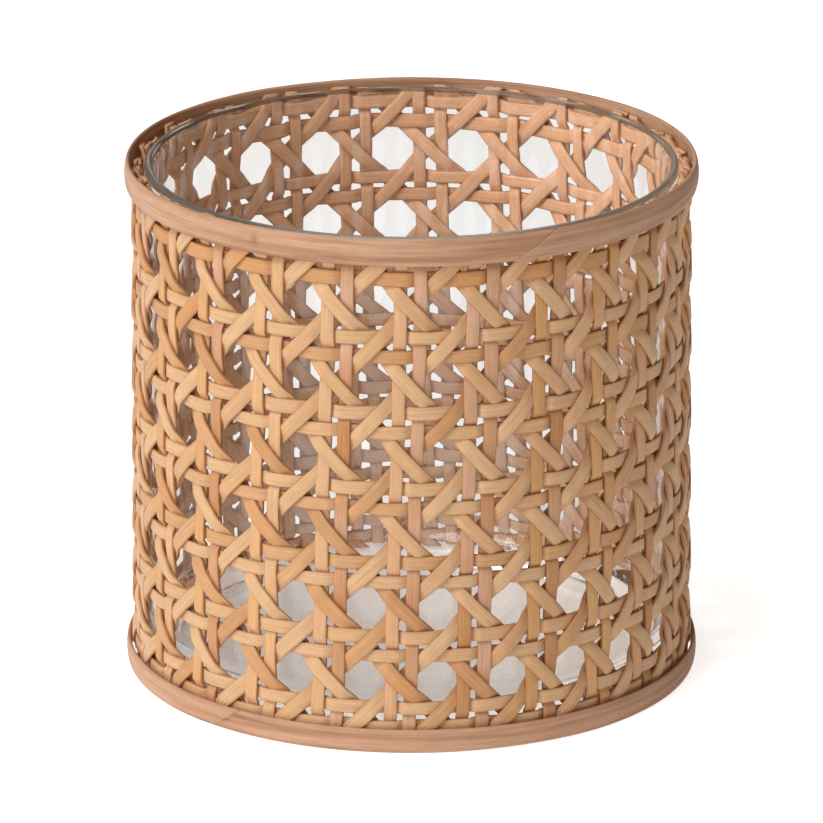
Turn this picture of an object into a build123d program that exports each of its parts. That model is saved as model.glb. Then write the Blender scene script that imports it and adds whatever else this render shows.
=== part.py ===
"""Round candle holder: a woven cane sleeve around a lift-out glass cup.

Millimetres, +Z up.  The origin is on the axis, at the level of the table.  The sleeve is a
tube of chair-cane webbing (pairs of upright and level strands plus two sets of diagonals),
stiffened by a half-round rattan hoop at each end.  The glass cup stands inside it.
"""

from build123d import *

import os
from math import cos, degrees, isclose, pi, radians, sin, tan

# ---- glass cup ---------------------------------------------------------------------------
glass_diameter = 139.2
glass_rim_drop = 1.2  # the rim stands this far below the sleeve's top
glass_wall = 2.1
glass_floor = 6.0
glass_heel_radius = 5.0  # rounded outer corner at the foot
glass_well_radius = 10.0  # rounded inner corner at the floor
glass_rim_rounding = 0.45  # rim fillets as a share of the wall

# ---- cane webbing ------------------------------------------------------------------------
columns = 24  # upright pairs round the sleeve
rows = 7  # level pairs up the sleeve
strand_width = 3.0
strand_thickness = 0.8
pair_spacing = 5.2  # between the middles of a pair's two strands
lowest_row_height = 8.9  # middle of the lowest level pair above the table
highest_row_drop = 8.7  # middle of the highest level pair below the sleeve's top
row_stretch = 0.12  # the webbing is pulled wider towards the top: half of each row's growth
strand_end_drop = 2.0  # cut ends stop this far inside the sleeve's two ends
lean_angle = 1.44  # the webbing was wrapped slightly askew: slope of the uprights
weave_phase = -1.0  # degrees, where the first upright pair stands at mid height

# ---- rattan hoops ------------------------------------------------------------------------
sleeve_height = 137.7
top_hoop_height = 7.4
top_hoop_thickness = 1.68
bottom_hoop_height = 6.4
bottom_hoop_thickness = 2.5
hoop_edge = 0.6  # thickness left at a hoop's upper and lower edges
scarf_gap = 0.15  # where a hoop's two tapered ends meet
scarf_slope = 60.0  # degrees from upright
top_scarf_angle = -65.0  # degrees round from +X
bottom_scarf_angle = -130.0
saw_reach = 4.0  # how far the scarf cut runs past a hoop, in hoop heights and thicknesses

# ---- clearances --------------------------------------------------------------------------
glass_clearance = 0.3  # running gap between the cup and the cane
strand_clearance = 0.06  # between strands that cross
hoop_clearance = 0.04  # between the cane and a hoop

# ---- places that follow ------------------------------------------------------------------
glass_height = sleeve_height - glass_rim_drop
inner_layer_radius = glass_diameter / 2 + glass_clearance + strand_thickness / 2
layer_step = strand_thickness + strand_clearance
core_radius = inner_layer_radius + 1.5 * layer_step  # between the two middle layers
outer_layer_radius = inner_layer_radius + 3 * layer_step
hoop_inner_radius = outer_layer_radius + strand_thickness / 2 + hoop_clearance

mid_height = sleeve_height / 2
strand_bottom = strand_end_drop
strand_top = sleeve_height - strand_end_drop
mean_row_pitch = (sleeve_height - highest_row_drop - lowest_row_height) / (rows - 1)
first_row_pitch = mean_row_pitch - row_stretch * (rows - 1)
row_bow = row_stretch * (rows - 1) ** 2 / 4  # the middle row's drop below even spacing
column_angle = 360 / columns
column_pitch = radians(column_angle) * core_radius
twist = degrees(tan(radians(lean_angle)) / core_radius)  # degrees round per mm of height
pair_half_angle = degrees(pair_spacing / 2 / core_radius)


def export(part, node):
    """Label a finished piece and write it as its own STEP file."""
    part.label = node
    export_step(part, f"parts/{node}.step")


def row_height(row):
    """The middle of a level pair above the table."""
    return lowest_row_height + row * first_row_pitch + row * row * row_stretch


def crossing_wave(pitch):
    """(distance, offset) points of a strand's weave over one cell, from a pair's middle.

    The strand lies one half layer to one side under the pair's first strand, one half
    layer to the other side at its second, and swings back on its way to the next pair.
    """
    flat_start = pair_spacing / 2 - strand_width / 2 - strand_clearance
    flat_end = pair_spacing / 2 + strand_width / 2 + strand_clearance
    points = []
    for share in (-1.0, -0.5, 0.0, 0.5, 1.0):
        points.append((share * flat_start, sin(share * pi / 2)))
    points.append((pair_spacing / 2, 1.0))
    for share in (0.0, 0.25, 0.5, 0.75, 1.0):
        points.append((flat_end + share * (pitch - 2 * flat_end), cos(share * pi)))
    points.append((pitch - pair_spacing / 2, -1.0))
    return points


def glass_cup():
    """A heavy-based clear cup, one revolved wall and floor with a rounded rim."""
    outer = glass_diameter / 2
    inner = outer - glass_wall
    with BuildPart() as cup:
        with BuildSketch(Plane.XZ):
            with BuildLine():
                Polyline(
                    (0, 0),
                    (outer, 0),
                    (outer, glass_height),
                    (inner, glass_height),
                    (inner, glass_floor),
                    (0, glass_floor),
                    close=True,
                )
            make_face()
        revolve(axis=Axis.Z)
        heel = cup.edges().filter_by(GeomType.CIRCLE).group_by(Axis.Z)[0]
        fillet(heel, glass_heel_radius)
        circles = cup.edges().filter_by(GeomType.CIRCLE)
        well = [edge for edge in circles if isclose(edge.center().Z, glass_floor, abs_tol=1e-4)]
        fillet(well, glass_well_radius)
        rim = cup.edges().filter_by(GeomType.CIRCLE).group_by(Axis.Z)[-1]
        fillet(rim, glass_wall * glass_rim_rounding)
    return cup.part


def hoop(bottom, height, thickness, scarf_angle):
    """A half-round split-rattan hoop, flat inside, its ends meeting in a slanted scarf."""
    middle = bottom + height / 2
    with BuildPart() as ring:
        with BuildSketch(Plane.XZ):
            with BuildLine():
                inner_bottom = (hoop_inner_radius, bottom)
                inner_top = (hoop_inner_radius, bottom + height)
                outer_bottom = (hoop_inner_radius + hoop_edge, bottom)
                outer_top = (hoop_inner_radius + hoop_edge, bottom + height)
                Line(outer_top, inner_top)
                Line(inner_top, inner_bottom)
                Line(inner_bottom, outer_bottom)
                ThreePointArc(outer_bottom, (hoop_inner_radius + thickness, middle), outer_top)
            make_face()
        revolve(axis=Axis.Z)
        saw_plane = Plane.YZ.rotated((0, 0, scarf_angle)).offset(hoop_inner_radius)
        saw_plane = Plane(saw_plane.location * Location((0, middle, 0), (0, 0, scarf_slope)))
        with BuildSketch(saw_plane):
            Rectangle(scarf_gap, saw_reach * height)
        extrude(amount=saw_reach * thickness, both=True, mode=Mode.SUBTRACT)
    return ring.part


def level_strand(height, side):
    """One level strand: a ring that passes over one strand of each upright pair and under
    the other.  side is +1 for the upper strand of a pair and -1 for the lower one."""
    points = []
    for column in range(columns):
        for distance, offset in crossing_wave(column_pitch):
            angle = radians(column * column_angle) + distance / core_radius
            points.append((angle, core_radius + side * offset * layer_step / 2))
    turn = weave_phase + twist * (height - mid_height)
    base = Plane.XY.offset(height - strand_width / 2).rotated((0, 0, turn))
    with BuildPart() as strand:
        with BuildSketch(base):
            for half, mode in ((0.5, Mode.ADD), (-0.5, Mode.SUBTRACT)):
                with BuildLine():
                    edge = [
                        ((r + half * strand_thickness) * cos(a), (r + half * strand_thickness) * sin(a))
                        for a, r in points
                    ]
                    Spline(edge, periodic=True)
                make_face(mode=mode)
        extrude(amount=strand_width)
    return strand.part


def upright_strands(side):
    """The left (side -1) or right (side +1) strands of all upright pairs.

    Each runs in and out of the level strands, and leans with the webbing."""
    centre = []
    for row in range(-1, rows):
        for distance, offset in crossing_wave(row_height(row + 1) - row_height(row)):
            height = row_height(row) + distance
            if strand_bottom < height < strand_top:
                centre.append((core_radius - side * offset * layer_step / 2, height - mid_height))
    centre.insert(0, (centre[0][0], strand_bottom - mid_height))
    centre.append((centre[-1][0], strand_top - mid_height))
    lean = radians(lean_angle)
    side_plane = Plane(
        origin=(0, 0, mid_height), x_dir=(1, 0, 0), z_dir=(0, -cos(lean), sin(lean))
    )
    outside = [(r + strand_thickness / 2, z) for r, z in centre]
    inside = [(r - strand_thickness / 2, z) for r, z in centre]
    with BuildPart() as strand:
        with BuildSketch(side_plane):
            with BuildLine():
                Spline(outside)
                Spline(inside)
                Line(inside[0], outside[0])
                Line(inside[-1], outside[-1])
            make_face()
        extrude(amount=strand_width / 2, both=True)
    with BuildPart() as strands:
        first = weave_phase + side * pair_half_angle
        with PolarLocations(0, columns, start_angle=first):
            add(strand.part)
    return strands.part


def diagonal_strands(radius, direction):
    """One set of diagonals: helical ribbons that pass midway between the upright pairs at
    the level pairs.  direction is +1 for those that rise to the right, -1 to the left."""
    turn_per_mm = direction * column_angle / mean_row_pitch + twist
    length = strand_top - strand_bottom
    with BuildPart() as strand:
        with BuildLine() as route:
            Helix(
                pitch=360 / abs(turn_per_mm),
                height=length,
                radius=radius,
                center=(0, 0, strand_bottom),
                lefthand=turn_per_mm < 0,
            )
        path = route.wire()
        with BuildSketch(Plane(origin=path @ 0, x_dir=(1, 0, 0), z_dir=path % 0)):
            Rectangle(strand_thickness, strand_width)
        sweep(path=path, is_frenet=True)
    crossing_height = lowest_row_height - row_bow / 2
    at_crossing = weave_phase + column_angle / 2 + twist * (crossing_height - mid_height)
    first = at_crossing + turn_per_mm * (strand_bottom - crossing_height)
    with BuildPart() as strands:
        with PolarLocations(0, columns, start_angle=first):
            add(strand.part)
    return strands.part


os.makedirs("parts", exist_ok=True)

export(glass_cup(), "glass_cup")

top_hoop_bottom = sleeve_height - top_hoop_height
export(hoop(top_hoop_bottom, top_hoop_height, top_hoop_thickness, top_scarf_angle), "top_hoop")
export(hoop(0, bottom_hoop_height, bottom_hoop_thickness, bottom_scarf_angle), "bottom_hoop")

for row in range(rows):
    for side in (-1, 1):
        strand_height = row_height(row) + side * pair_spacing / 2
        strand_number = 2 * row + (side + 1) // 2 + 1
        export(level_strand(strand_height, side), f"level_strand_{strand_number:02d}")

export(upright_strands(-1), "upright_strands_left")
export(upright_strands(1), "upright_strands_right")
export(diagonal_strands(outer_layer_radius, 1), "rising_diagonal_strands")
export(diagonal_strands(inner_layer_radius, -1), "falling_diagonal_strands")
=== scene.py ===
"""Looks of the woven cane candle holder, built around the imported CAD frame.

Metres, +Z up.  The sleeve is rebuilt strand by strand: every strand is a crowned ribbon laid on
the sleeve's unrolled surface, where x is the distance round (at the webbing's middle radius) and
y the height, and a weave field says how far in or out it lies at each point.
"""

import math

import bpy
import numpy as np
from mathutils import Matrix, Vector


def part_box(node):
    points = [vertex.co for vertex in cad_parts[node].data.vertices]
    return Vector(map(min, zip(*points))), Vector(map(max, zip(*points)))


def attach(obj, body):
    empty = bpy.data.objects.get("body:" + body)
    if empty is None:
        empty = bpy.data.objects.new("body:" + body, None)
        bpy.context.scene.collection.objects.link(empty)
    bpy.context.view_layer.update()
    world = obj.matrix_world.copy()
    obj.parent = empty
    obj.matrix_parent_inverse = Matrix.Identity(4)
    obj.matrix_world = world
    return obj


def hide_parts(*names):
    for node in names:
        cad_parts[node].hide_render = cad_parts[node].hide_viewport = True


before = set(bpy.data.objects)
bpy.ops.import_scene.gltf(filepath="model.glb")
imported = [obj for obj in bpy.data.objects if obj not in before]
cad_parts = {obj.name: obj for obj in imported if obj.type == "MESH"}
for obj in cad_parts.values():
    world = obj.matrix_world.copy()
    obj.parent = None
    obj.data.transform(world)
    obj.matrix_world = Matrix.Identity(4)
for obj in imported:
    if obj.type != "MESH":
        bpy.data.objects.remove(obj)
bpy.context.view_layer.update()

MM = 0.001


# ---- what the frame says -----------------------------------------------------------------
def outer_radius(node):
    low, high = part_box(node)
    return max(high.x, high.y, -low.x, -low.y)


def middle_height(node):
    low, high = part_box(node)
    return (low.z + high.z) / 2


LEVEL_NODES = sorted(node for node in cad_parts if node.startswith("level_strand_"))
LEVEL_HEIGHTS = [middle_height(node) for node in LEVEL_NODES]
ROW_HEIGHTS = np.array([(a + b) / 2 for a, b in zip(LEVEL_HEIGHTS[::2], LEVEL_HEIGHTS[1::2])])
PAIR_SPACING = LEVEL_HEIGHTS[1] - LEVEL_HEIGHTS[0]
SLEEVE_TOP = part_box("top_hoop")[1].z
TOP_HOOP_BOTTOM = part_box("top_hoop")[0].z
BOTTOM_HOOP_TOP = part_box("bottom_hoop")[1].z
TOP_HOOP_RADIUS = outer_radius("top_hoop")
BOTTOM_HOOP_RADIUS = outer_radius("bottom_hoop")
WEB_OUTSIDE = outer_radius("rising_diagonal_strands")
GLASS_RADIUS = outer_radius("glass_cup")
GLASS_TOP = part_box("glass_cup")[1].z
MIDDLE = SLEEVE_TOP / 2

# ---- the webbing -------------------------------------------------------------------------
COLUMNS = 24
GLASS_GAP = 0.25 * MM
LAYERS = 3.25  # crossing steps that fill the webbing's depth
WEB_INSIDE = GLASS_RADIUS + GLASS_GAP
WEB_RADIUS = (WEB_INSIDE + WEB_OUTSIDE) / 2
LAYER = (WEB_OUTSIDE - WEB_INSIDE) / LAYERS  # how far out one crossing strand sets another
STRAND_THICKNESS = 0.95 * LAYER
STRAND_WIDTH = 3.4 * MM
COLUMN_PITCH = 2 * math.pi * WEB_RADIUS / COLUMNS
PHASE = math.radians(-1.0) * WEB_RADIUS  # where the first upright pair stands
LEAN = math.tan(math.radians(1.44))  # slope of the uprights
FLARE = 1.2 * MM  # the sleeve opens this much, in radius, from its top to its foot
# The webbing was pulled on unevenly: its columns drift round, most at the back right.
DRIFT_PEAK = math.radians(8.6)
DRIFT_CENTRE = math.radians(36)
DRIFT_SPREAD = math.radians(45)
# A diagonal keeps its layer up to the first distance from a pair's middle, and has left it by
# the second.
BAND_INSIDE = 3.4 * MM
BAND_OUTSIDE = 7.2 * MM
END_DROP = 2.0 * MM  # cut ends stop this far inside the sleeve's ends
TRIM_REACH = 4 * MM  # a strand's last stretch, where its section turns level
STEP = 1.0 * MM  # from one section of a strand to the next
DIAGONAL_STEPS = 1.4  # a diagonal is longer than it is high

# Rows past both ends, so that every height has a row to each side of it.
ALL_ROWS = np.concatenate(
    (
        [ROW_HEIGHTS[0] - (ROW_HEIGHTS[1] - ROW_HEIGHTS[0])],
        ROW_HEIGHTS,
        [ROW_HEIGHTS[-1] + (ROW_HEIGHTS[-1] - ROW_HEIGHTS[-2])],
    )
)
ROW_NUMBERS = np.arange(-1, len(ROW_HEIGHTS) + 1)

# How uneven the strands are.  A range is of a length, or of shares of the strand's size.
BOTTOM_UNEVEN = (-0.8 * MM, 0.6 * MM)  # at the cut ends
TOP_UNEVEN = (-1.0 * MM, 0.7 * MM)
WIDTH_RANGE = (0.95, 1.06)
LEVEL_WIDTH_RANGE = (0.95, 1.05)
THICKNESS_RANGE = (0.94, 1.0)
WIDTH_WANDER = 0.09 * MM
WIDTH_WAVE = 60 * MM
UPRIGHT_WANDER = 0.16 * MM
UPRIGHT_WAVE = 70 * MM
UPRIGHT_SHIFT = 0.12 * MM
DIAGONAL_WANDER = 0.22 * MM
DIAGONAL_WAVE = 50 * MM
DIAGONAL_SHIFT = 0.15 * MM
LEVEL_RISE = 0.35 * MM
LEVEL_RISE_WAVES = (2, 5, 11, 17)  # in a turn
LEVEL_SWELL = 0.08 * MM
LEVEL_SWELL_WAVES = (7, 13)
LEVEL_WIDE = 1.04
DIAGONAL_WIDE = 1.12
RIBBED_NODE = LEVEL_NODES[-2]  # a broader, orange strand with its cross-ribs left on
RIBBED_WIDE = 1.15
RIBBED_SEED = 0.97

# ---- the hoops ---------------------------------------------------------------------------
HOOP_CLEARANCE = 0.04 * MM
HOOP_EDGE = 0.75 * MM  # thickness at a hoop's upper and lower edges
HOOP_ROUNDNESS = 0.62  # below 1, the half-round is fuller than a sine
HOOP_SECTIONS = 560
CROWN_POINTS = 15
SCARF_GAP = 0.16 * MM
SCARF_SLOPE = math.radians(60)  # from upright
SCARF_SHARE = 0.06  # the sections slant over this share of a turn
HOOP_NARROWING = 0.10 * MM
HOOP_NARROWING_WAVES = (3, 7, 12)  # in a turn
HOOP_FLATTENING = 0.10
HOOP_FLATTENING_WAVES = 5
KNOT_LENGTH = 1.1 * MM
KNOT_WIDTH = 0.35  # of the hoop's half height
KNOT_GROWTH = 0.06

# ---- the cup -----------------------------------------------------------------------------
GLASS_WALL = 2.1 * MM
GLASS_FLOOR = 6.0 * MM
GLASS_HEEL = 5.0 * MM
GLASS_WELL = 10.0 * MM
GLASS_RIPPLE = 0.10 * MM
GLASS_SECTIONS = 240


def srgb(red, green, blue):
    """A colour given as 0 to 255 screen values, as linear RGBA."""

    def linear(c):
        c /= 255
        return c / 12.92 if c <= 0.04045 else ((c + 0.055) / 1.055) ** 2.4

    return (linear(red), linear(green), linear(blue), 1.0)


def smooth_step(low, high, x):
    t = np.clip((x - low) / (high - low), 0, 1)
    return t * t * (3 - 2 * t)


def any_phase(rng):
    """A random angle in radians."""
    return rng.uniform(0, 6.28)


def wander(s, rng, size, wavelength):
    """A smooth random curve along s, about +-size high."""
    total = np.zeros_like(s)
    for share, stretch in ((1.0, 1.0), (0.6, 0.43), (0.35, 0.21)):
        angle = 2 * math.pi * s / (wavelength * stretch) + rng.uniform(0, 2 * math.pi)
        total += share * np.sin(angle)
    return total * size / 1.4


# ---- the weave ---------------------------------------------------------------------------
def row_at(y):
    """The height as a row number: whole at the middle of each level pair."""
    return np.interp(y, ALL_ROWS, ROW_NUMBERS)


def from_column(x, y):
    """Distance round from the nearest upright pair's middle."""
    across = x - PHASE - LEAN * (y - MIDDLE)
    return (across + COLUMN_PITCH / 2) % COLUMN_PITCH - COLUMN_PITCH / 2


def from_row(y):
    """Height above the nearest level pair's middle, and the local distance between rows."""
    number = np.clip(np.rint(row_at(y)).astype(int), -1, len(ROW_HEIGHTS))
    centre = ALL_ROWS[number + 1]
    beyond = np.clip(np.where(y > centre, number + 1, number), 0, len(ROW_HEIGHTS))
    pitch = ALL_ROWS[beyond + 1] - ALL_ROWS[beyond]
    return y - centre, pitch


def flare(y):
    return FLARE * (1 - y / SLEEVE_TOP)


def drifted(x):
    """The distance round after the webbing's drift."""
    turn = x / WEB_RADIUS
    away = (turn - DRIFT_CENTRE + math.pi) % (2 * math.pi) - math.pi
    return x - WEB_RADIUS * DRIFT_PEAK * np.exp(-((away / DRIFT_SPREAD) ** 2) / 2)


def pair_wave(distance, pitch):
    """+1 over a pair's second strand, -1 over its first, and 0 halfway to the next pair."""
    near = np.abs(distance)
    flat_start = PAIR_SPACING / 2 - STRAND_WIDTH / 2
    flat_end = PAIR_SPACING / 2 + STRAND_WIDTH / 2
    inner = np.sin(np.clip(near / flat_start, 0, 1) * math.pi / 2)
    outer = np.cos(np.clip((near - flat_end) / (pitch - 2 * flat_end), 0, 1) * math.pi)
    return np.sign(distance) * np.where(near < flat_end, inner, outer)


def pair_band(distance):
    """1 where both strands of a pair lie, 0 clear of them."""
    return 1 - smooth_step(BAND_INSIDE, BAND_OUTSIDE, np.abs(distance))


def upright_field(side):
    def field(x, y):
        distance, pitch = from_row(y)
        return -side * 0.5 * pair_wave(distance, pitch)

    return field


def level_field(side):
    def field(x, y):
        return side * 0.5 * pair_wave(from_column(x, y), COLUMN_PITCH)

    return field


def diagonal_field(direction):
    """Rising strands pass over the level pairs and under the upright ones; falling, the other
    way about."""

    def field(x, y):
        return direction * (pair_band(from_row(y)[0]) - pair_band(from_column(x, y)))

    return field


# ---- ribbons -----------------------------------------------------------------------------
# A strand's section: (across, out), across in half widths and out in thicknesses.  The rind
# side is faintly crowned and the inner side flat, with small worn corners.
CROWN = [(v, 0.5 - 0.14 * abs(v) ** 2.2) for v in (-0.93, -0.8, -0.5, 0.0, 0.5, 0.8, 0.93)]
LEFT_EDGE = [(-1.0, -0.2), (-0.99, 0.22)]
RIGHT_EDGE = [(0.99, 0.22), (1.0, -0.2)]
PITH_SIDE = [(0.93, -0.46), (0.5, -0.5), (-0.5, -0.5), (-0.93, -0.46)]
SECTION = np.array(LEFT_EDGE + CROWN + RIGHT_EDGE + PITH_SIDE)
PITH_DEPTH = -0.3  # section corners further in than this are on the pith side


def tube_faces(sections, corners, closed, flip=False):
    """The quads between neighbouring sections, and the two end faces of an open tube."""
    i = np.arange(sections if closed else sections - 1)[:, None]
    j = np.arange(corners)[None, :]
    next_i = (i + 1) % sections
    next_j = (j + 1) % corners
    near = [i * corners + j, i * corners + next_j]
    far = [next_i * corners + next_j, next_i * corners + j]
    quads = np.stack(near + far, -1).reshape(-1, 4)
    if flip:
        quads = quads[:, [1, 0, 3, 2]]
    faces = quads.tolist()
    if not closed:
        turned = 1 if flip else -1
        first = list(range(corners))
        last = [(sections - 1) * corners + corner for corner in first]
        faces.append(first[::turned])
        faces.append(last[::-turned])
    return faces


def ribbon_part(x, y, width, thickness, field, closed, seed):
    """Vertices, faces and material coordinates of one ribbon along the points (x, y).

    The material coordinates are the place along, the place across and the strand's own
    number; the pith side, which faces the glass, has one added to that number."""
    sections, corners = len(x), len(SECTION)
    if closed:
        dx = np.roll(x, -1) - np.roll(x, 1)
        dx[0] += 2 * math.pi * WEB_RADIUS
        dx[-1] += 2 * math.pi * WEB_RADIUS
        dy = np.roll(y, -1) - np.roll(y, 1)
    else:
        dx, dy = np.gradient(x), np.gradient(y)
    size = np.hypot(dx, dy)
    side_x, side_y = dy / size, -dx / size
    if not closed:  # the ends are trimmed level, along the hoop
        from_end = np.minimum(y - y[0], y[-1] - y)
        trimmed = smooth_step(TRIM_REACH, 0, from_end)
        side_x = side_x + (1 / side_x - side_x) * trimmed
        side_y = side_y * (1 - trimmed)
    across = SECTION[:, 0][None, :] * width[:, None] / 2
    place_x = x[:, None] + across * side_x[:, None]
    place_y = y[:, None] + across * side_y[:, None]
    out = field(place_x, place_y) * LAYER + SECTION[:, 1][None, :] * thickness[:, None]
    radius = WEB_RADIUS + flare(place_y) + out
    angle = (drifted(x)[:, None] + across * side_x[:, None]) / WEB_RADIUS
    verts = np.stack([radius * np.cos(angle), radius * np.sin(angle), place_y], -1)
    step = np.hypot(np.diff(x), np.diff(y))
    along = np.concatenate(([0], np.cumsum(step)))
    number = seed + (SECTION[:, 1] < PITH_DEPTH)
    cane = np.stack(
        [np.repeat(along, corners), np.tile(SECTION[:, 0], sections), np.tile(number, sections)], -1
    )
    return verts.reshape(-1, 3), tube_faces(sections, corners, closed), cane


def mesh_piece(name, parts, material, nodes):
    """One Blender mesh of several parts, standing for CAD nodes of the sleeve."""
    verts, faces, cane, base = [], [], [], 0
    for part_verts, part_faces, part_cane in parts:
        verts.append(part_verts)
        cane.append(part_cane)
        faces += [[base + corner for corner in face] for face in part_faces]
        base += len(part_verts)
    verts, cane = np.concatenate(verts), np.concatenate(cane)
    mesh = bpy.data.meshes.new(name)
    mesh.from_pydata(verts.tolist(), [], faces)
    attribute = mesh.attributes.new("cane", "FLOAT_VECTOR", "POINT")
    attribute.data.foreach_set("vector", cane.astype(np.float32).ravel())
    mesh.shade_smooth()
    mesh.update()
    mesh.materials.append(material)
    piece = bpy.data.objects.new(name, mesh)
    bpy.context.scene.collection.objects.link(piece)
    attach(piece, "sleeve")
    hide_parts(*nodes)
    return piece


def strand_ends(rng):
    bottom = END_DROP + rng.uniform(*BOTTOM_UNEVEN)
    top = SLEEVE_TOP - END_DROP + rng.uniform(*TOP_UNEVEN)
    return bottom, top


def strand_sizes(s, rng, wide=1.0):
    width = STRAND_WIDTH * wide * rng.uniform(*WIDTH_RANGE)
    width = width + wander(s, rng, WIDTH_WANDER, WIDTH_WAVE)
    thickness = STRAND_THICKNESS * rng.uniform(*THICKNESS_RANGE) * np.ones_like(s)
    return width, thickness


def upright_parts(side, rng):
    """The left (side -1) or right (side +1) strands of all upright pairs."""
    parts = []
    for column in range(COLUMNS):
        bottom, top = strand_ends(rng)
        y = np.linspace(bottom, top, int((top - bottom) / STEP) + 1)
        x = PHASE + column * COLUMN_PITCH + LEAN * (y - MIDDLE) + side * PAIR_SPACING / 2
        x = x + wander(y, rng, UPRIGHT_WANDER, UPRIGHT_WAVE)
        x = x + rng.uniform(-UPRIGHT_SHIFT, UPRIGHT_SHIFT)
        width, thickness = strand_sizes(y, rng)
        parts.append(ribbon_part(x, y, width, thickness, upright_field(side), False, rng.uniform()))
    return parts


def level_part(height, side, rng, wide=LEVEL_WIDE, seed=None):
    """The upper (side +1) or lower (side -1) strand of a level pair, a ring."""
    sections = int(2 * math.pi * WEB_RADIUS / STEP)
    x = np.arange(sections) / sections * 2 * math.pi * WEB_RADIUS
    turn = x / WEB_RADIUS
    y = np.full(sections, height)
    for waves in LEVEL_RISE_WAVES:
        rise = LEVEL_RISE / waves**0.5 * rng.uniform(0.3, 1)
        y = y + rise * np.sin(waves * turn + any_phase(rng))
    width = np.full(sections, STRAND_WIDTH * wide * rng.uniform(*LEVEL_WIDTH_RANGE))
    seed = rng.uniform(0.05, 0.95) if seed is None else seed
    for waves in LEVEL_SWELL_WAVES:
        width = width + LEVEL_SWELL * np.sin(waves * turn + any_phase(rng))
    thickness = np.full(sections, STRAND_THICKNESS * rng.uniform(*THICKNESS_RANGE))
    return ribbon_part(x, y, width, thickness, level_field(side), True, seed)


def diagonal_parts(direction, rng):
    """The diagonals that rise to the right (direction +1) or to the left (direction -1)."""
    parts = []
    for column in range(COLUMNS):
        bottom, top = strand_ends(rng)
        y = np.linspace(bottom, top, int((top - bottom) * DIAGONAL_STEPS / STEP) + 1)
        cells = 0.5 + direction * row_at(y) + column
        x = PHASE + cells * COLUMN_PITCH + LEAN * (y - MIDDLE)
        x = x + wander(y, rng, DIAGONAL_WANDER, DIAGONAL_WAVE)
        x = x + rng.uniform(-DIAGONAL_SHIFT, DIAGONAL_SHIFT)
        width, thickness = strand_sizes(y, rng, DIAGONAL_WIDE)
        field = diagonal_field(direction)
        parts.append(ribbon_part(x, y, width, thickness, field, False, rng.uniform()))
    return parts


# ---- hoops -------------------------------------------------------------------------------
def swing(waves, angle, rng):
    """A wave round the hoop, from 0 to 1."""
    return 0.5 + 0.5 * np.sin(waves * angle + any_phase(rng))


def hoop_part(bottom, height, outer, seam_angle, rng, knots):
    """A half-round split-rattan hoop, an open strip whose slanted ends meet in a scarf.

    knots are (angle round, place across) of the leaf scars.  The material coordinates are the
    distance round, the place across and how deep in a scar the point lies."""
    inner = WEB_OUTSIDE + flare(bottom) + HOOP_CLEARANCE
    middle = bottom + height / 2
    turn = np.linspace(0, 1, HOOP_SECTIONS)
    gap = SCARF_GAP / outer
    angle = seam_angle + gap / 2 + turn * (2 * math.pi - gap)
    taper = np.maximum(smooth_step(SCARF_SHARE, 0, turn), smooth_step(1 - SCARF_SHARE, 1, turn))
    # the section: (height, out), height as a share of the hoop's and out from its inner face
    bulge = outer - inner - HOOP_EDGE
    section = [
        (t - 0.5, HOOP_EDGE + bulge * math.sin(t * math.pi) ** HOOP_ROUNDNESS)
        for t in np.linspace(0, 1, CROWN_POINTS)
    ]
    section += [(0.46, 0.12 * MM), (0.40, 0.0), (0.0, 0.0), (-0.40, 0.0), (-0.46, 0.12 * MM)]
    section = np.array(section)
    corners = len(section)
    across = np.concatenate((np.linspace(-1, 1, CROWN_POINTS), [0.98, 0.8, 0, -0.8, -0.98]))
    tall = height * np.ones(HOOP_SECTIONS)
    for waves in HOOP_NARROWING_WAVES:
        tall -= HOOP_NARROWING * swing(waves, angle, rng)
    scar = np.zeros((HOOP_SECTIONS, corners))
    for knot, place in knots:
        away = (angle - knot + math.pi) % (2 * math.pi) - math.pi
        round_scar = away[:, None] * outer / KNOT_LENGTH
        across_scar = (across[None, :] - place) / KNOT_WIDTH
        scar += np.exp(-(round_scar**2) - across_scar**2)
    z = middle + section[None, :, 0] * tall[:, None]
    slant = (z - middle) * math.tan(SCARF_SLOPE) / outer
    place_angle = angle[:, None] + slant * taper[:, None]
    flat = 1 - HOOP_FLATTENING * swing(HOOP_FLATTENING_WAVES, angle, rng)
    grown = (1 + KNOT_GROWTH * scar) / (1 + KNOT_GROWTH)
    radius = inner + section[None, :, 1] * flat[:, None] * grown
    verts = np.stack([radius * np.cos(place_angle), radius * np.sin(place_angle), z], -1)
    cane = np.stack(
        [(place_angle * outer).ravel(), np.tile(across, HOOP_SECTIONS), scar.ravel()], -1
    )
    return verts.reshape(-1, 3), tube_faces(HOOP_SECTIONS, corners, False, flip=True), cane


# ---- glass -------------------------------------------------------------------------------
def arc(cx, cz, radius, start, end, points):
    return [
        (cx + radius * math.cos(t), cz + radius * math.sin(t))
        for t in np.radians(np.linspace(start, end, points))
    ]


def straight(radius, start, end, points=14):
    return [(radius, z) for z in np.linspace(start, end, points)]


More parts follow.
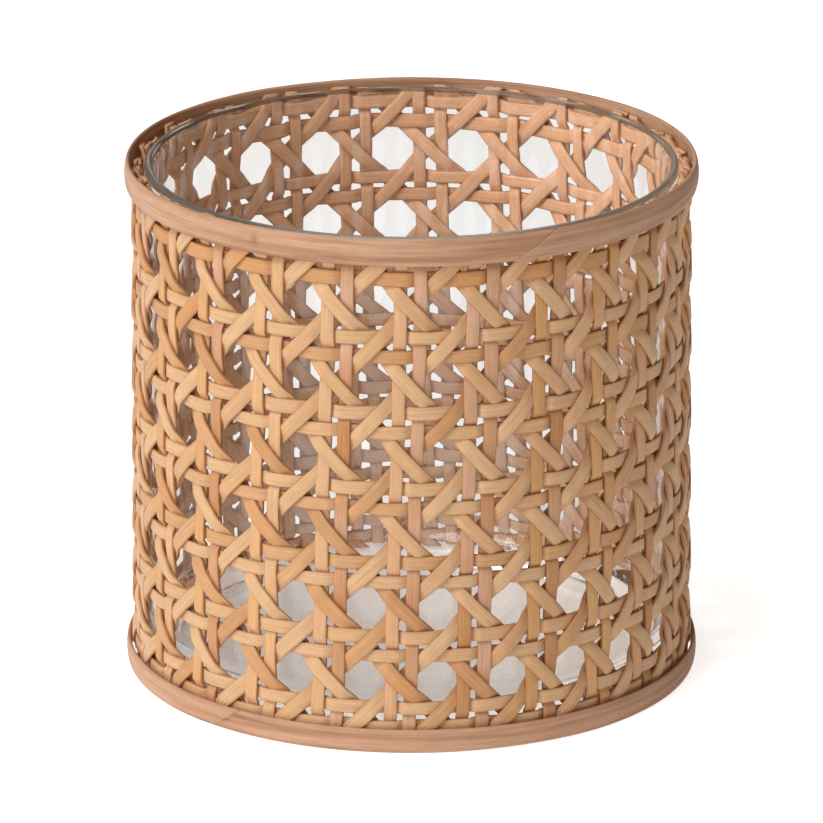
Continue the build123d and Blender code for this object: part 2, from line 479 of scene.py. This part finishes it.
def cup_profile():
    """(radius, height) points from the underside, up the outside and down to the floor."""
    inner = GLASS_RADIUS - GLASS_WALL
    rim = GLASS_WALL / 2
    clear = 4 * MM  # the straight stretches start this far from the curves
    profile = [(GLASS_RADIUS * t, 0.0) for t in (0.12, 0.3, 0.5, 0.7, 0.85)]
    profile += arc(GLASS_RADIUS - GLASS_HEEL, GLASS_HEEL, GLASS_HEEL, -90, 0, 9)
    profile += straight(GLASS_RADIUS, GLASS_HEEL + clear, GLASS_TOP - clear)
    profile += arc(GLASS_RADIUS - rim, GLASS_TOP - rim, rim, 0, 180, 9)
    profile += straight(inner, GLASS_TOP - clear, GLASS_FLOOR + GLASS_WELL + clear)
    profile += arc(inner - GLASS_WELL, GLASS_FLOOR + GLASS_WELL, GLASS_WELL, 0, -90, 11)
    profile += [(GLASS_RADIUS * t, GLASS_FLOOR) for t in (0.7, 0.5, 0.3, 0.12)]
    return profile


def glass_piece(material, rim_material):
    """A blown cup: heavy rounded base, slightly rippled inside, with a rounded, rough rim tinted
    dark grey as painted shade.
    """
    inner = GLASS_RADIUS - GLASS_WALL
    profile = cup_profile()
    rows = len(profile)
    turn = np.arange(GLASS_SECTIONS) / GLASS_SECTIONS * 2 * math.pi
    verts = []
    for row, (r, z) in enumerate(profile):
        swell = GLASS_RIPPLE if row > rows // 2 else 0.0
        waves = np.sin(3 * turn + z * 60) + 0.6 * np.sin(5 * turn + 1.3 + z * 35)
        ripple = swell * waves - swell
        radius = r + ripple * min(r / inner, 1) * (r > 0.5 * inner)
        height = np.full(GLASS_SECTIONS, z)
        verts.append(np.stack([radius * np.cos(turn), radius * np.sin(turn), height], -1))
    verts.append(np.array([[0, 0, 0], [0, 0, GLASS_FLOOR]]))
    near = [(i, (i + 1) % GLASS_SECTIONS) for i in range(GLASS_SECTIONS)]
    faces = []
    for row in range(rows - 1):
        low, high = row * GLASS_SECTIONS, (row + 1) * GLASS_SECTIONS
        faces += [(low + a, low + b, high + b, high + a) for a, b in near]
    under, over = rows * GLASS_SECTIONS, rows * GLASS_SECTIONS + 1
    last = (rows - 1) * GLASS_SECTIONS
    for a, b in near:
        faces.append((under, b, a))
        faces.append((over, last + a, last + b))
    mesh = bpy.data.meshes.new("glass_cup_clear")
    mesh.from_pydata(np.concatenate(verts).tolist(), [], faces)
    mesh.shade_smooth()
    mesh.update()
    mesh.materials.append(material)
    mesh.materials.append(rim_material)
    # the rim's faces take the rim material, whose dark grey tint is painted shade
    for face in mesh.polygons:
        face.material_index = int(face.center.z > GLASS_TOP - GLASS_WALL / 2)
    piece = bpy.data.objects.new("glass_cup_clear", mesh)
    bpy.context.scene.collection.objects.link(piece)
    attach(piece, "glass")
    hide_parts("glass_cup")
    return piece


# ---- materials ---------------------------------------------------------------------------
class Nodes:
    """A small helper for wiring a material's node tree."""

    def __init__(self, name):
        self.material = bpy.data.materials.new(name)
        self.material.use_nodes = True
        self.tree = self.material.node_tree
        self.shader = self.first("BSDF_PRINCIPLED")

    def first(self, kind):
        return next(node for node in self.tree.nodes if node.type == kind)

    def new(self, kind, **settings):
        node = self.tree.nodes.new(kind)
        for key, value in settings.items():
            setattr(node, key, value)
        return node

    def link(self, source, target):
        self.tree.links.new(source, target)

    def feed(self, socket, value):
        """Set a socket to a number or colour, or link it to another node's output."""
        if isinstance(value, (int, float, tuple)):
            socket.default_value = value
        else:
            self.link(value, socket)

    def math(self, operation, *values, clamp=False):
        node = self.new("ShaderNodeMath", operation=operation, use_clamp=clamp)
        for socket, value in zip(node.inputs, values):
            self.feed(socket, value)
        return node.outputs[0]

    def vector(self, *values):
        node = self.new("ShaderNodeCombineXYZ")
        for socket, value in zip(node.inputs, values):
            self.feed(socket, value)
        return node.outputs[0]

    def noise(self, place, detail=2.0, roughness=0.5):
        node = self.new("ShaderNodeTexNoise")
        node.inputs["Scale"].default_value = 1.0
        node.inputs["Detail"].default_value = detail
        node.inputs["Roughness"].default_value = roughness
        self.link(place, node.inputs["Vector"])
        return node.outputs["Fac"]

    def streaks(self, along, across, number, scales, detail=2.0, roughness=0.5):
        """Noise over the surface.  scales are per metre along and per half width across."""
        place_along = self.math("MULTIPLY", along, scales[0])
        place_across = self.math("MULTIPLY", across, scales[1])
        return self.noise(self.vector(place_along, place_across, number), detail, roughness)

    def around(self, value, size, middle=1.0, clamp=False):
        """Noise, which averages a half, turned into middle plus or minus some of size."""
        centred = self.math("SUBTRACT", value, 0.5)
        return self.math("MULTIPLY_ADD", centred, size, middle, clamp=clamp)

    def above(self, value, threshold, gain):
        """0 up to the threshold, then rising to 1."""
        return self.math("MULTIPLY", self.math("SUBTRACT", value, threshold), gain, clamp=True)

    def ramp(self, value, stops):
        node = self.new("ShaderNodeValToRGB")
        ramp = node.color_ramp
        while len(ramp.elements) < len(stops):
            ramp.elements.new(0.5)
        for element, (place, colour) in zip(ramp.elements, stops):
            element.position = place
            element.color = colour
        self.link(value, node.inputs["Fac"])
        return node.outputs["Color"]

    def mix(self, factor, a, b, blend="MIX"):
        node = self.new("ShaderNodeMix", data_type="RGBA", blend_type=blend)
        for socket, value in ((node.inputs[0], factor), (node.inputs[6], a), (node.inputs[7], b)):
            self.feed(socket, value)
        return node.outputs[2]

    def shaded(self, colour, brightness):
        node = self.new("ShaderNodeCombineColor")
        for socket in node.inputs:
            self.link(brightness, socket)
        return self.mix(1.0, colour, node.outputs[0], "MULTIPLY")

    def tinted(self, colour, factor, strength, target):
        return self.mix(self.math("MULTIPLY", factor, strength), colour, target)

    def finish(self, colour, roughness, specular, relief, depth):
        """Wire the shader's colour, roughness and bump."""
        self.link(colour, self.shader.inputs["Base Color"])
        self.link(roughness, self.shader.inputs["Roughness"])
        self.shader.inputs["Specular IOR Level"].default_value = specular
        bump = self.new("ShaderNodeBump")
        bump.inputs["Strength"].default_value = 0.5
        bump.inputs["Distance"].default_value = depth
        self.link(relief, bump.inputs["Height"])
        self.link(bump.outputs[0], self.shader.inputs["Normal"])
        return self.material


def cane_coordinates(nodes):
    attribute = nodes.new("ShaderNodeAttribute", attribute_name="cane")
    split = nodes.new("ShaderNodeSeparateXYZ")
    nodes.link(attribute.outputs["Vector"], split.inputs[0])
    return split.outputs


# Peeled cane.  Each stop is a place in the strands' range of tones, and its colour.
TAN = [
    (0.00, srgb(202, 148, 98)),
    (0.25, srgb(216, 169, 121)),
    (0.50, srgb(220, 177, 130)),
    (0.75, srgb(219, 175, 132)),
    (1.00, srgb(208, 149, 93)),
]
PINK = [
    (0.00, srgb(210, 156, 100)),
    (0.35, srgb(223, 172, 117)),
    (0.62, srgb(221, 172, 128)),
    (0.82, srgb(220, 176, 145)),
    (1.00, srgb(196, 136, 82)),
]
# The pith side's tint, paler and pinker: partly the pith's own colour, partly painted light
# brightening the sleeve's inside.
PITH_AND_PAINTED_LIGHT = srgb(236, 184, 148)
PARTED_COLOUR = srgb(140, 84, 46)
# Painted shade: the colour the strands' edges darken to, for the shade where strands press on each
# other.
PAINTED_EDGE_SHADE = srgb(156, 96, 54)
SEED_SPREAD = 913.0  # sets the strands' patterns far apart
DRIFT_SCALE = 22.0
FIBRE_SCALES = (55.0, 7.0)
PARTED_SCALES = (40.0, 9.0)
PARTED_SEED = 31.0
MOTTLE_SCALES = (260.0, 1.2)
RIB_SPACING = 0.42 * MM
RIBBED_ABOVE = 0.72  # strands whose number falls past this keep their cross-ribs
CANE_RELIEF = 0.10 * MM

# Split rattan, with stops in the range of its broad blotches.
RATTAN = [
    (0.28, srgb(160, 112, 80)),
    (0.48, srgb(194, 147, 115)),
    (0.62, srgb(206, 164, 134)),
    (0.80, srgb(182, 130, 92)),
]
CRACK_COLOUR = srgb(120, 78, 50)
SCAR_COLOUR = srgb(112, 70, 44)
BROAD_SCALES = (14.0, 1.4)
STREAK_SCALES = (60.0, 14.0)
BLOTCH_SCALES = (95.0, 1.8)
CRACK_SCALES = (30.0, 26.0)
RATTAN_RELIEF = 0.12 * MM

# Clear glass, and its rough rim tinted dark grey: painted shade for the grey band the rim shows.
CLEAR_TINT = (0.965, 0.96, 0.95, 1.0)
RIM_PAINTED_SHADE = (0.22, 0.21, 0.17, 1.0)
RIM_ROUGHNESS = 0.3
LAMP_TINT = (0.97, 0.975, 0.97, 1.0)
GLASS_IOR = 1.47
MOST_BENDS = 4.5  # a ray that has met more surfaces than this goes straight on


def cane_material(name, tones):
    """Peeled cane: each strand its own tone, fine fibres along it, faint cross-ribs on some,
    a pith side tinted paler, partly as painted light, and painted shade darkening the edges."""
    nodes = Nodes(name)
    along, across, number = cane_coordinates(nodes)
    pith = nodes.math("GREATER_THAN", number, 1.0)
    seed = nodes.math("FRACT", number)
    apart = nodes.math("MULTIPLY", seed, SEED_SPREAD)
    # one tone per strand, drifting slowly along it; the pith side, facing the glass, is tinted
    # paler and pinker, partly its own colour and partly painted light brightening the sleeve's
    # inside
    drift = nodes.noise(nodes.vector(nodes.math("MULTIPLY", along, DRIFT_SCALE), apart, 0.0))
    colour = nodes.ramp(nodes.around(drift, 0.55, seed, clamp=True), tones)
    colour = nodes.tinted(colour, pith, 0.75, PITH_AND_PAINTED_LIGHT)
    # fibres: long streaks, fine across the strand
    fibres = nodes.streaks(along, across, apart, FIBRE_SCALES, 3.0, 0.65)
    colour = nodes.shaded(colour, nodes.around(fibres, 0.75))
    # a few fine dark lines where fibres have parted
    parted_place = nodes.math("ADD", apart, PARTED_SEED)
    parted = nodes.above(nodes.streaks(along, across, parted_place, PARTED_SCALES), 0.62, 7.0)
    colour = nodes.tinted(colour, parted, 0.38, PARTED_COLOUR)
    # painted shade: the strand's edges are darkened for the contact shade between crossing strands
    edge_shade = nodes.math("POWER", nodes.math("ABSOLUTE", across), 9.0)
    colour = nodes.tinted(colour, edge_shade, 0.5, PAINTED_EDGE_SHADE)
    # mottling over a few millimetres
    mottle = nodes.streaks(along, across, apart, MOTTLE_SCALES, 3.0, 0.6)
    colour = nodes.shaded(colour, nodes.around(mottle, 0.28))
    # cross-ribs, where this strand has them
    ribs = nodes.math("SINE", nodes.math("MULTIPLY", along, 2 * math.pi / RIB_SPACING))
    draw = nodes.math("FRACT", nodes.math("MULTIPLY", seed, 7.0))
    ribbed = nodes.math("MULTIPLY", ribs, nodes.math("GREATER_THAN", draw, RIBBED_ABOVE))
    colour = nodes.shaded(colour, nodes.math("MULTIPLY_ADD", ribbed, 0.10, 1.0))
    relief = nodes.math("SUBTRACT", fibres, nodes.math("MULTIPLY", parted, 0.6))
    relief = nodes.math("ADD", relief, nodes.math("MULTIPLY", ribbed, 0.14))
    roughness = nodes.math("MULTIPLY_ADD", fibres, 0.22, 0.40)
    return nodes.finish(colour, roughness, 0.42, relief, CANE_RELIEF)


def hoop_material(name):
    """Split rattan: matt, pinkish tan, with long dark streaks and brown leaf scars."""
    nodes = Nodes(name)
    along, across, scar = cane_coordinates(nodes)
    colour = nodes.ramp(nodes.streaks(along, across, 3.0, BROAD_SCALES, 3.0, 0.6), RATTAN)
    streaks = nodes.streaks(along, across, 7.0, STREAK_SCALES, 4.0, 0.7)
    colour = nodes.shaded(colour, nodes.around(streaks, 0.75))
    blotches = nodes.streaks(along, across, 19.0, BLOTCH_SCALES, 3.0, 0.6)
    colour = nodes.shaded(colour, nodes.around(blotches, 0.4))
    cracks = nodes.above(nodes.streaks(along, across, 11.0, CRACK_SCALES), 0.64, 5.0)
    colour = nodes.tinted(colour, cracks, 0.5, CRACK_COLOUR)
    colour = nodes.tinted(colour, scar, 0.55, SCAR_COLOUR)
    relief = nodes.math("ADD", streaks, nodes.math("MULTIPLY", cracks, -0.5))
    roughness = nodes.math("MULTIPLY_ADD", streaks, 0.2, 0.5)
    return nodes.finish(colour, roughness, 0.35, relief, RATTAN_RELIEF)


def glass_material(name, tint, roughness):
    """Glass.  Lamps shine through it onto the cane behind, and light that has already been
    through both walls, or is caught inside one, leaves without more bends."""
    nodes = Nodes(name)
    shader = nodes.shader
    shader.inputs["Base Color"].default_value = tint
    shader.inputs["Transmission Weight"].default_value = 1.0
    shader.inputs["Roughness"].default_value = roughness
    shader.inputs["IOR"].default_value = GLASS_IOR
    clear = nodes.new("ShaderNodeBsdfTransparent")
    clear.inputs["Color"].default_value = LAMP_TINT
    path = nodes.new("ShaderNodeLightPath")
    deep = nodes.math("GREATER_THAN", path.outputs["Ray Depth"], MOST_BENDS)
    either = nodes.new("ShaderNodeMixShader")
    nodes.link(nodes.math("MAXIMUM", path.outputs["Is Shadow Ray"], deep), either.inputs[0])
    nodes.link(shader.outputs[0], either.inputs[1])
    nodes.link(clear.outputs[0], either.inputs[2])
    nodes.link(either.outputs[0], nodes.first("OUTPUT_MATERIAL").inputs["Surface"])
    return nodes.material


# ---- build -------------------------------------------------------------------------------
def from_front(degrees_right):
    """An angle round from straight in front, as an angle from +X."""
    return math.radians(degrees_right - 90)


def knots_at(*places):
    return [(from_front(turn), across) for turn, across in places]


level_cane = cane_material("level_cane", TAN)
upright_cane = cane_material("upright_cane", PINK)
diagonal_cane = cane_material("diagonal_cane", TAN)
rattan = hoop_material("rattan_hoop")
clear_glass = glass_material("clear_glass", CLEAR_TINT, 0.0)
# the rim's dark grey tint is painted shade for the grey band light makes in the rim
painted_shade_rim = glass_material("glass_rim_painted_shade", RIM_PAINTED_SHADE, RIM_ROUGHNESS)

rng = np.random.default_rng(24)
for number, (node, height) in enumerate(zip(LEVEL_NODES, LEVEL_HEIGHTS)):
    side = 1 if number % 2 else -1
    if node == RIBBED_NODE:
        strand = level_part(height, side, rng, RIBBED_WIDE, RIBBED_SEED)
    else:
        strand = level_part(height, side, rng)
    mesh_piece("woven_" + node, [strand], level_cane, [node])
for side, word in ((-1, "left"), (1, "right")):
    node = f"upright_strands_{word}"
    mesh_piece("woven_" + node, upright_parts(side, rng), upright_cane, [node])
for direction, word in ((1, "rising"), (-1, "falling")):
    node = f"{word}_diagonal_strands"
    strands = diagonal_parts(direction, rng)
    mesh_piece("woven_" + node, strands, diagonal_cane, [node])

top_height = SLEEVE_TOP - TOP_HOOP_BOTTOM
top_knots = knots_at((-80, -0.2), (-32, 0.1), (110, 0.0))
bottom_knots = knots_at((-39, -0.1), (140, 0.2))
top_hoop = hoop_part(TOP_HOOP_BOTTOM, top_height, TOP_HOOP_RADIUS, from_front(25), rng, top_knots)
mesh_piece("rattan_top_hoop", [top_hoop], rattan, ["top_hoop"])
bottom_hoop = hoop_part(0, BOTTOM_HOOP_TOP, BOTTOM_HOOP_RADIUS, from_front(-40), rng, bottom_knots)
mesh_piece("rattan_bottom_hoop", [bottom_hoop], rattan, ["bottom_hoop"])
glass_piece(clear_glass, painted_shade_rim)

# ---- stage, light and camera -------------------------------------------------------------
FLOOR_HALF = 6.0
FLOOR_DROP = 0.2 * MM
FLOOR_GLOW = 0.36
BARE_GLOW = 0.36  # added where the camera sees the floor bare
WORLD_LEFT = (0.38, 0.376, 0.37, 1)
WORLD_RIGHT = (0.06, 0.03, 0.018, 1)
CENTRE = (0, 0, MIDDLE)
LENS = 315.5
ELEVATION = math.radians(18.56)
DISTANCE = 1.9
TARGET = (0, 0, 67.2 * MM)


def look_from(piece, place, target):
    piece.location = place
    direction = Vector(target) - Vector(place)
    piece.rotation_euler = direction.to_track_quat("-Z", "Y").to_euler()


def disk_light(name, place, target, size, power):
    data = bpy.data.lights.new(name, "AREA")
    data.shape = "DISK"
    data.size = size
    data.energy = power
    light = bpy.data.objects.new(name, data)
    bpy.context.scene.collection.objects.link(light)
    look_from(light, place, target)


def floor_piece():
    """A large pale sheet, just below the object, which stays white in the shadow."""
    mesh = bpy.data.meshes.new("studio_floor")
    signs = ((-1, -1), (1, -1), (1, 1), (-1, 1))
    corners = [(x * FLOOR_HALF, y * FLOOR_HALF, -FLOOR_DROP) for x, y in signs]
    mesh.from_pydata(corners, [], [(0, 1, 2, 3)])
    nodes = Nodes("studio_floor")
    nodes.shader.inputs["Base Color"].default_value = (0.92, 0.92, 0.92, 1)
    nodes.shader.inputs["Roughness"].default_value = 0.9
    nodes.shader.inputs["Emission Color"].default_value = (1, 1, 1, 1)
    path = nodes.new("ShaderNodeLightPath")
    glow = nodes.math("MULTIPLY_ADD", path.outputs["Is Camera Ray"], BARE_GLOW, FLOOR_GLOW)
    nodes.link(glow, nodes.shader.inputs["Emission Strength"])
    mesh.materials.append(nodes.material)
    floor = bpy.data.objects.new("studio_floor", mesh)
    bpy.context.scene.collection.objects.link(floor)


def studio_world():
    """A bright studio wall at the left and a dim one at the right."""
    world = bpy.data.worlds.new("studio")
    world.use_nodes = True
    tree = world.node_tree
    background = next(node for node in tree.nodes if node.type == "BACKGROUND")
    background.inputs["Strength"].default_value = 1.0
    sky = tree.nodes.new("ShaderNodeTexCoord")
    split = tree.nodes.new("ShaderNodeSeparateXYZ")
    shade = tree.nodes.new("ShaderNodeValToRGB")
    left, right = shade.color_ramp.elements
    left.position, right.position = 0.0, 0.6
    left.color, right.color = WORLD_LEFT, WORLD_RIGHT
    tree.links.new(sky.outputs["Generated"], split.inputs[0])
    tree.links.new(split.outputs["X"], shade.inputs["Fac"])
    tree.links.new(shade.outputs["Color"], background.inputs["Color"])
    bpy.context.scene.world = world


def camera_piece():
    data = bpy.data.cameras.new("camera")
    data.lens = LENS
    data.sensor_width = 36
    data.clip_end = 20
    camera = bpy.data.objects.new("camera", data)
    bpy.context.scene.collection.objects.link(camera)
    away, up = DISTANCE * math.cos(ELEVATION), DISTANCE * math.sin(ELEVATION)
    look_from(camera, (0, -away, TARGET[2] + up), TARGET)
    bpy.context.scene.camera = camera


floor_piece()
disk_light("key", (-1.6, -1.3, 0.9), CENTRE, 1.0, 11)
disk_light("top", (-0.75, -0.75, 1.7), (0, 0.05, 0.1), 1.2, 20)
studio_world()
camera_piece()
bpy.context.scene.view_settings.view_transform = "Standard"
